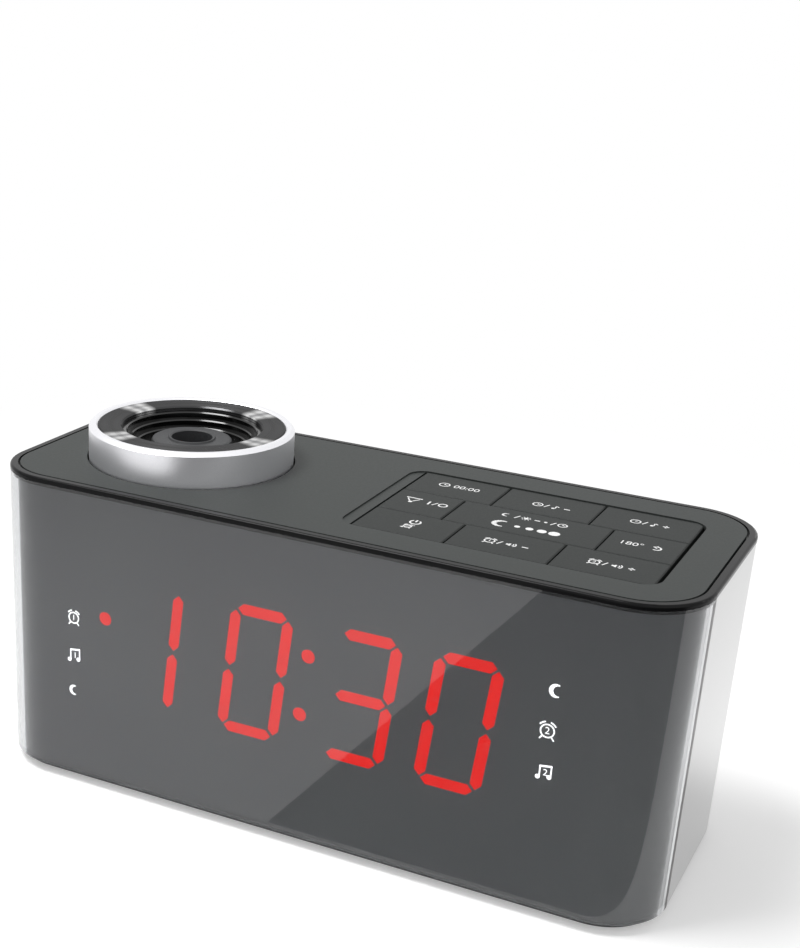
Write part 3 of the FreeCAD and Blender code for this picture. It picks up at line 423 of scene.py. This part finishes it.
def loudspeaker(sign, x):
    addBar(sign, x - 1.0, 0, x - 0.3, 0, 0.8)
    addBar(sign, x - 0.35, 0, x + 0.15, 0, 1.5)
    addArc(sign, x + 0.1, 0, 0.8, 0.3, -50, 50)
    addArc(sign, x + 0.1, 0, 1.4, 0.3, -50, 50)


def timeSetSign(sign):
    clockFace(sign, -4.6, 1.2, 0.0)
    addNumber(sign, "00:00", 1.6, 0, 2.3)


def tuneSign(sign, hand):  # which hand of the clock it sets, then the station; plus or minus follows
    clockFace(sign, -4.6, 1.1, hand)
    slash(sign, -2.2)
    note(sign, 0.2)


def hourSign(sign):
    tuneSign(sign, 0.0)
    minusSign(sign, 3.2)


def minuteSign(sign):
    tuneSign(sign, 1.1)
    plusSign(sign, 3.2)


def beamSign(sign):
    addDisc(sign, -3.4, -1.6, 0.55)
    addBar(sign, -3.8, -1.0, -5.0, 1.0, 0.34)
    addBar(sign, -3.0, -1.0, -1.8, 1.0, 0.34)
    addBar(sign, -5.6, 1.6, -1.2, 1.6, 0.46)
    addBar(sign, 1.2, -1.2, 1.2, 1.2, 0.46)
    slash(sign, 2.8)
    addArc(sign, 5.0, 0, 1.1, 0.42, 0, 360)


def powerSign(sign):
    addArc(sign, 0.6, 1.7, 1.35, 0.46, 125, 415)
    addBar(sign, 0.6, 1.9, 0.6, 3.4, 0.46)
    alarmClock(sign, "", 0.62, 0.0, -1.9)
    addBar(sign, -1.5, -3.1, 1.5, -0.7, 0.34)


def flipSign(sign):
    addNumber(sign, "180°", -1.8, 0, 2.3)
    addArc(sign, 4.4, 0, 1.15, 0.42, -120, 120)
    addBar(sign, 3.5, 0.9, 4.6, 1.6, 0.42)
    addBar(sign, 3.5, 0.9, 4.5, 0.2, 0.42)


def snoozeSign(sign):
    crescent(sign, 2.5, -6.6, 0)
    for n in range(4):  # dots that grow, as sleep deepens
        addDisc(sign, -2.6 + 3.2 * n, 0, 0.75 + 0.24 * n)


def dimmerSign(sign):
    crescent(sign, 1.2, -7.4, 0)
    slash(sign, -4.6)
    sun(sign, -2.2)
    addBar(sign, 0.0, 0, 1.4, 0, 0.5)
    addDisc(sign, 2.9, 0, 0.45)
    slash(sign, 4.9)
    clockFace(sign, 7.3, 1.0, 0.0)


def alarmSign(sign, figure):
    alarmClock(sign, figure, 0.8, -4.8)
    slash(sign, -2.2)
    loudspeaker(sign, 0.4)


def alarmOneSign(sign):
    alarmSign(sign, "1")
    minusSign(sign, 4.2)


def alarmTwoSign(sign):
    alarmSign(sign, "2")
    plusSign(sign, 4.2)


def printSign(name, draw, place, material, thickness, body):
    sign = bmesh.new()
    draw(sign)
    bmesh.ops.remove_doubles(sign, verts=sign.verts[:], dist=0.001)
    bmesh.ops.recalc_face_normals(sign, faces=sign.faces[:])
    for face in sign.faces:
        if face.normal.z < 0:
            face.normal_flip()
    bmesh.ops.solidify(sign, geom=sign.faces[:], thickness=-thickness)
    bmesh.ops.recalc_face_normals(sign, faces=sign.faces[:])
    bmesh.ops.transform(sign, matrix=place @ Matrix.Scale(mm, 4), verts=sign.verts[:])
    piece = addPiece(name, sign, materials[material])
    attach(piece, body)
    return piece


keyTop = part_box("snooze_key")[1].z
keySigns = {  # what is drawn, the key that carries it, and its middle on the table plan in mm
    "timeSetSign": (timeSetSign, "time_set_key", 18.2, 17.4),
    "hourSign": (hourSign, "hour_key", 44.6, 16.0),
    "minuteSign": (minuteSign, "minute_key", 70.1, 17.1),
    "projectionSign": (beamSign, "projection_key", 14.6, 1.0),
    "dimmerSign": (dimmerSign, "snooze_key", 43.4, 3.4),
    "snoozeSign": (snoozeSign, "snooze_key", 43.8, -3.6),
    "flipSign": (flipSign, "flip_key", 70.9, 0.2),
    "powerSign": (powerSign, "power_key", 18.0, -16.6),
    "alarmOneSign": (alarmOneSign, "alarm_one_key", 43.7, -17.0),
    "alarmTwoSign": (alarmTwoSign, "alarm_two_key", 69.8, -17.0),
}
inkThickness = 0.02  # mm
for name, (draw, key, x, y) in keySigns.items():
    place = Matrix.Translation((x * mm, y * mm, keyTop))
    printSign(name, draw, place, "padPrintInk", inkThickness, key + "_body")

lensWall = 2.0  # mm
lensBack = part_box("front_lens")[0].y + lensWall * mm
lensSigns = {  # what is drawn, and its middle on the front, x and z in mm
    "alarmLampOne": (lambda sign: alarmClock(sign, "1", 0.95), -68.0, 49.0),
    "musicLampOne": (lambda sign: twinNote(sign, "1"), -68.0, 38.1),
    "napLamp": (lambda sign: crescent(sign, 1.6), -68.0, 27.6),
    "sleepLamp": (lambda sign: crescent(sign, 1.9), 65.4, 61.0),
    "alarmLampTwo": (lambda sign: alarmClock(sign, "2", 1.05), 64.2, 50.4),
    "musicLampTwo": (lambda sign: twinNote(sign, "2"), 64.6, 39.6),
}
signDepth = 0.03  # mm behind the lens, in front of the film
upright = Matrix.Rotation(math.radians(90), 4, "X")
for name, (draw, x, z) in lensSigns.items():
    place = Matrix.Translation((x * mm, lensBack + signDepth * mm, z * mm)) @ upright
    printSign(name, draw, place, "backlitSign", inkThickness, "case")

# a second coat of the film's print over the bars that are off, so that they stay hidden behind the lens
coat = {"grow": 1.14, "front": 0.014, "back": 0.028,  # share of each bar's size, then mm behind the lens
        "step": 0.0008}  # mm that each bar's coat lies before the last, so that no two lie in one plane
hidden = bmesh.new()
hidden.from_mesh(nodes["segments_dark"].data)
bmesh.ops.remove_doubles(hidden, verts=hidden.verts, dist=1e-6)
bars = []  # the corners of each bar
grouped = set()
for start in hidden.verts:
    if start in grouped:
        continue
    grouped.add(start)
    bars.append([start])
    for corner in bars[-1]:
        for edge in corner.link_edges:
            other = edge.other_vert(corner)
            if other not in grouped:
                grouped.add(other)
                bars[-1].append(other)
for number, bar in enumerate(bars):
    middle = sum((corner.co for corner in bar), Vector()) / len(bar)
    bmesh.ops.scale(hidden, vec=(coat["grow"], 1, coat["grow"]), verts=bar, space=Matrix.Translation(-middle))
    for corner in bar:
        depth = coat["front"] if corner.co.y < middle.y else coat["back"]
        corner.co.y = lensBack + (depth - number * coat["step"]) * mm
secondCoat = addPiece("filmSecondCoat", hidden, materials["printedGreyFilm"])
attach(secondCoat, "case")
print("stage 3: the signs are printed")


# Camera, from the clock's own edges in the photograph

view = {"focalPixels": 1591.3, "centreX": 285.75, "centreY": 649.42, "width": 800, "height": 948,
        "position": (153.658, -364.251, 216.813), "right": (0.89108, 0.45192, 0.04185),
        "ahead": (-0.39789, 0.82222, -0.40698), "sensor": 36.0}
lens = bpy.data.cameras.new("photoCamera")
lens.sensor_width = view["sensor"]
lens.lens = view["focalPixels"] / view["height"] * view["sensor"]
lens.shift_x = (view["width"] / 2 - view["centreX"]) / view["height"]
lens.shift_y = (view["centreY"] - view["height"] / 2) / view["height"]
lens.clip_start = 0.01
camera = bpy.data.objects.new("photoCamera", lens)
bpy.context.scene.collection.objects.link(camera)
ahead = Vector(view["ahead"]).normalized()
right = Vector(view["right"])
right = (right - ahead * right.dot(ahead)).normalized()
above = right.cross(ahead)
turn = Matrix((right, above, -ahead)).transposed()
camera.matrix_world = Matrix.Translation(Vector(view["position"]) * mm) @ turn.to_4x4()
bpy.context.scene.camera = camera
print("stage 4: the camera stands where the photographer did")


# Room: pale floor, white surround for the eye and for reflections, soft lamps

room = {"floorSize": 12.0, "floorColor": "#e6e6e6", "floorLift": 0.35, "ambient": 0.45, "seen": 1.0,
        "shadowReach": 0.16, "whiteReach": 0.4}


def seenRays(tree):  # 1 for rays from the camera, or through gloss or glass; 0 for light that falls on things
    path = addNode(tree, "ShaderNodeLightPath")
    direct = addNode(tree, "ShaderNodeMath", {"operation": "MAXIMUM"},
                     {0: path.outputs["Is Camera Ray"], 1: path.outputs["Is Glossy Ray"]})
    return addNode(tree, "ShaderNodeMath", {"operation": "MAXIMUM"},
                   {0: direct.outputs[0], 1: path.outputs["Is Transmission Ray"]}).outputs[0]


world = bpy.data.worlds.new("whiteRoom")
world.use_nodes = True
bpy.context.scene.world = world
sky = world.node_tree
sky.nodes.clear()
strength = spread(sky, seenRays(sky), room["ambient"], room["seen"], 0.0, 1.0)
backdrop = addNode(sky, "ShaderNodeBackground", {"Color": (1, 1, 1, 1)}, {"Strength": strength})
addNode(sky, "ShaderNodeOutputWorld", links={"Surface": backdrop.outputs[0]})

paperSweep = bpy.data.materials.new("paperSweep")  # matt white paper, which fades to pure white further off
paperSweep.use_nodes = True
paper = paperSweep.node_tree
paper.nodes.clear()
seen = seenRays(paper)
matt = addNode(paper, "ShaderNodeBsdfDiffuse", {"Color": linearColor(room["floorColor"])})
lift = spread(paper, seen, 0.0, room["floorLift"], 0.0, 1.0)
glow = addNode(paper, "ShaderNodeEmission", {"Color": (1, 1, 1, 1)}, {"Strength": lift})
near = addNode(paper, "ShaderNodeAddShader", links={0: matt.outputs[0], 1: glow.outputs[0]})
white = addNode(paper, "ShaderNodeEmission", {"Color": (1, 1, 1, 1), "Strength": 1.0})
spot = addNode(paper, "ShaderNodeTexCoord")
away = addNode(paper, "ShaderNodeVectorMath", {"operation": "LENGTH"}, {0: spot.outputs["Object"]})
far = spread(paper, away.outputs["Value"], 0.0, 1.0, room["shadowReach"], room["whiteReach"])
eye = addNode(paper, "ShaderNodeMath", {"operation": "MULTIPLY"}, {0: far, 1: seen})
both = addNode(paper, "ShaderNodeMixShader",
               links={0: eye.outputs[0], 1: near.outputs[0], 2: white.outputs[0]})
addNode(paper, "ShaderNodeOutputMaterial", links={"Surface": both.outputs[0]})

ground = bmesh.new()
bmesh.ops.create_grid(ground, x_segments=1, y_segments=1, size=room["floorSize"] / 2)
floor = addPiece("floor", ground, paperSweep)

# a black studio board on the floor in front, which only reflections show, draws the diagonal edge on the lens
board = {"left": -0.0105, "right": 0.6, "near": -0.7, "far": -0.045, "height": 0.0006,  # metres
         "lean": -0.0465}  # how far it shears sideways for each metre towards the back
sheet = bmesh.new()
bmesh.ops.create_grid(sheet, x_segments=1, y_segments=1, size=0.5)
span = (board["right"] - board["left"], board["far"] - board["near"], 1)
middle = ((board["right"] + board["left"]) / 2, (board["far"] + board["near"]) / 2, board["height"])
bmesh.ops.scale(sheet, vec=span, verts=sheet.verts)
bmesh.ops.translate(sheet, verts=sheet.verts, vec=middle)
for corner in sheet.verts:
    corner.co.x += board["lean"] * (corner.co.y - board["far"])
velvet = startMaterial("blackVelvet", {"Base Color": linearColor("#050505"), "Roughness": 1.0})[0]
studioBoard = addPiece("studioBoard", sheet, velvet)
studioBoard.visible_camera = False
studioBoard.visible_diffuse = False
studioBoard.visible_shadow = False
studioBoard.visible_transmission = False

lamps = {  # place and aim in mm, size in metres, power in watts
    "softbox": {"at": (-420, -260, 1150), "aim": (0, 0, 40), "size": 0.5, "watts": 11.0},
    "sideFill": {"at": (620, -300, 500), "aim": (0, 0, 40), "size": 0.8, "watts": 1.0},
}
for name, lamp in lamps.items():
    data = bpy.data.lights.new(name, "AREA")
    data.size = lamp["size"]
    data.energy = lamp["watts"]
    light = bpy.data.objects.new(name, data)
    bpy.context.scene.collection.objects.link(light)
    light.visible_transmission = False  # so that the film behind the lens shows no specks of the lamps
    light.location = Vector(lamp["at"]) * mm
    light.rotation_euler = (Vector(lamp["aim"]) - Vector(lamp["at"])).to_track_quat("-Z", "Y").to_euler()

bpy.context.scene.view_settings.view_transform = "Standard"
print("stage 5: room and lamps are set")
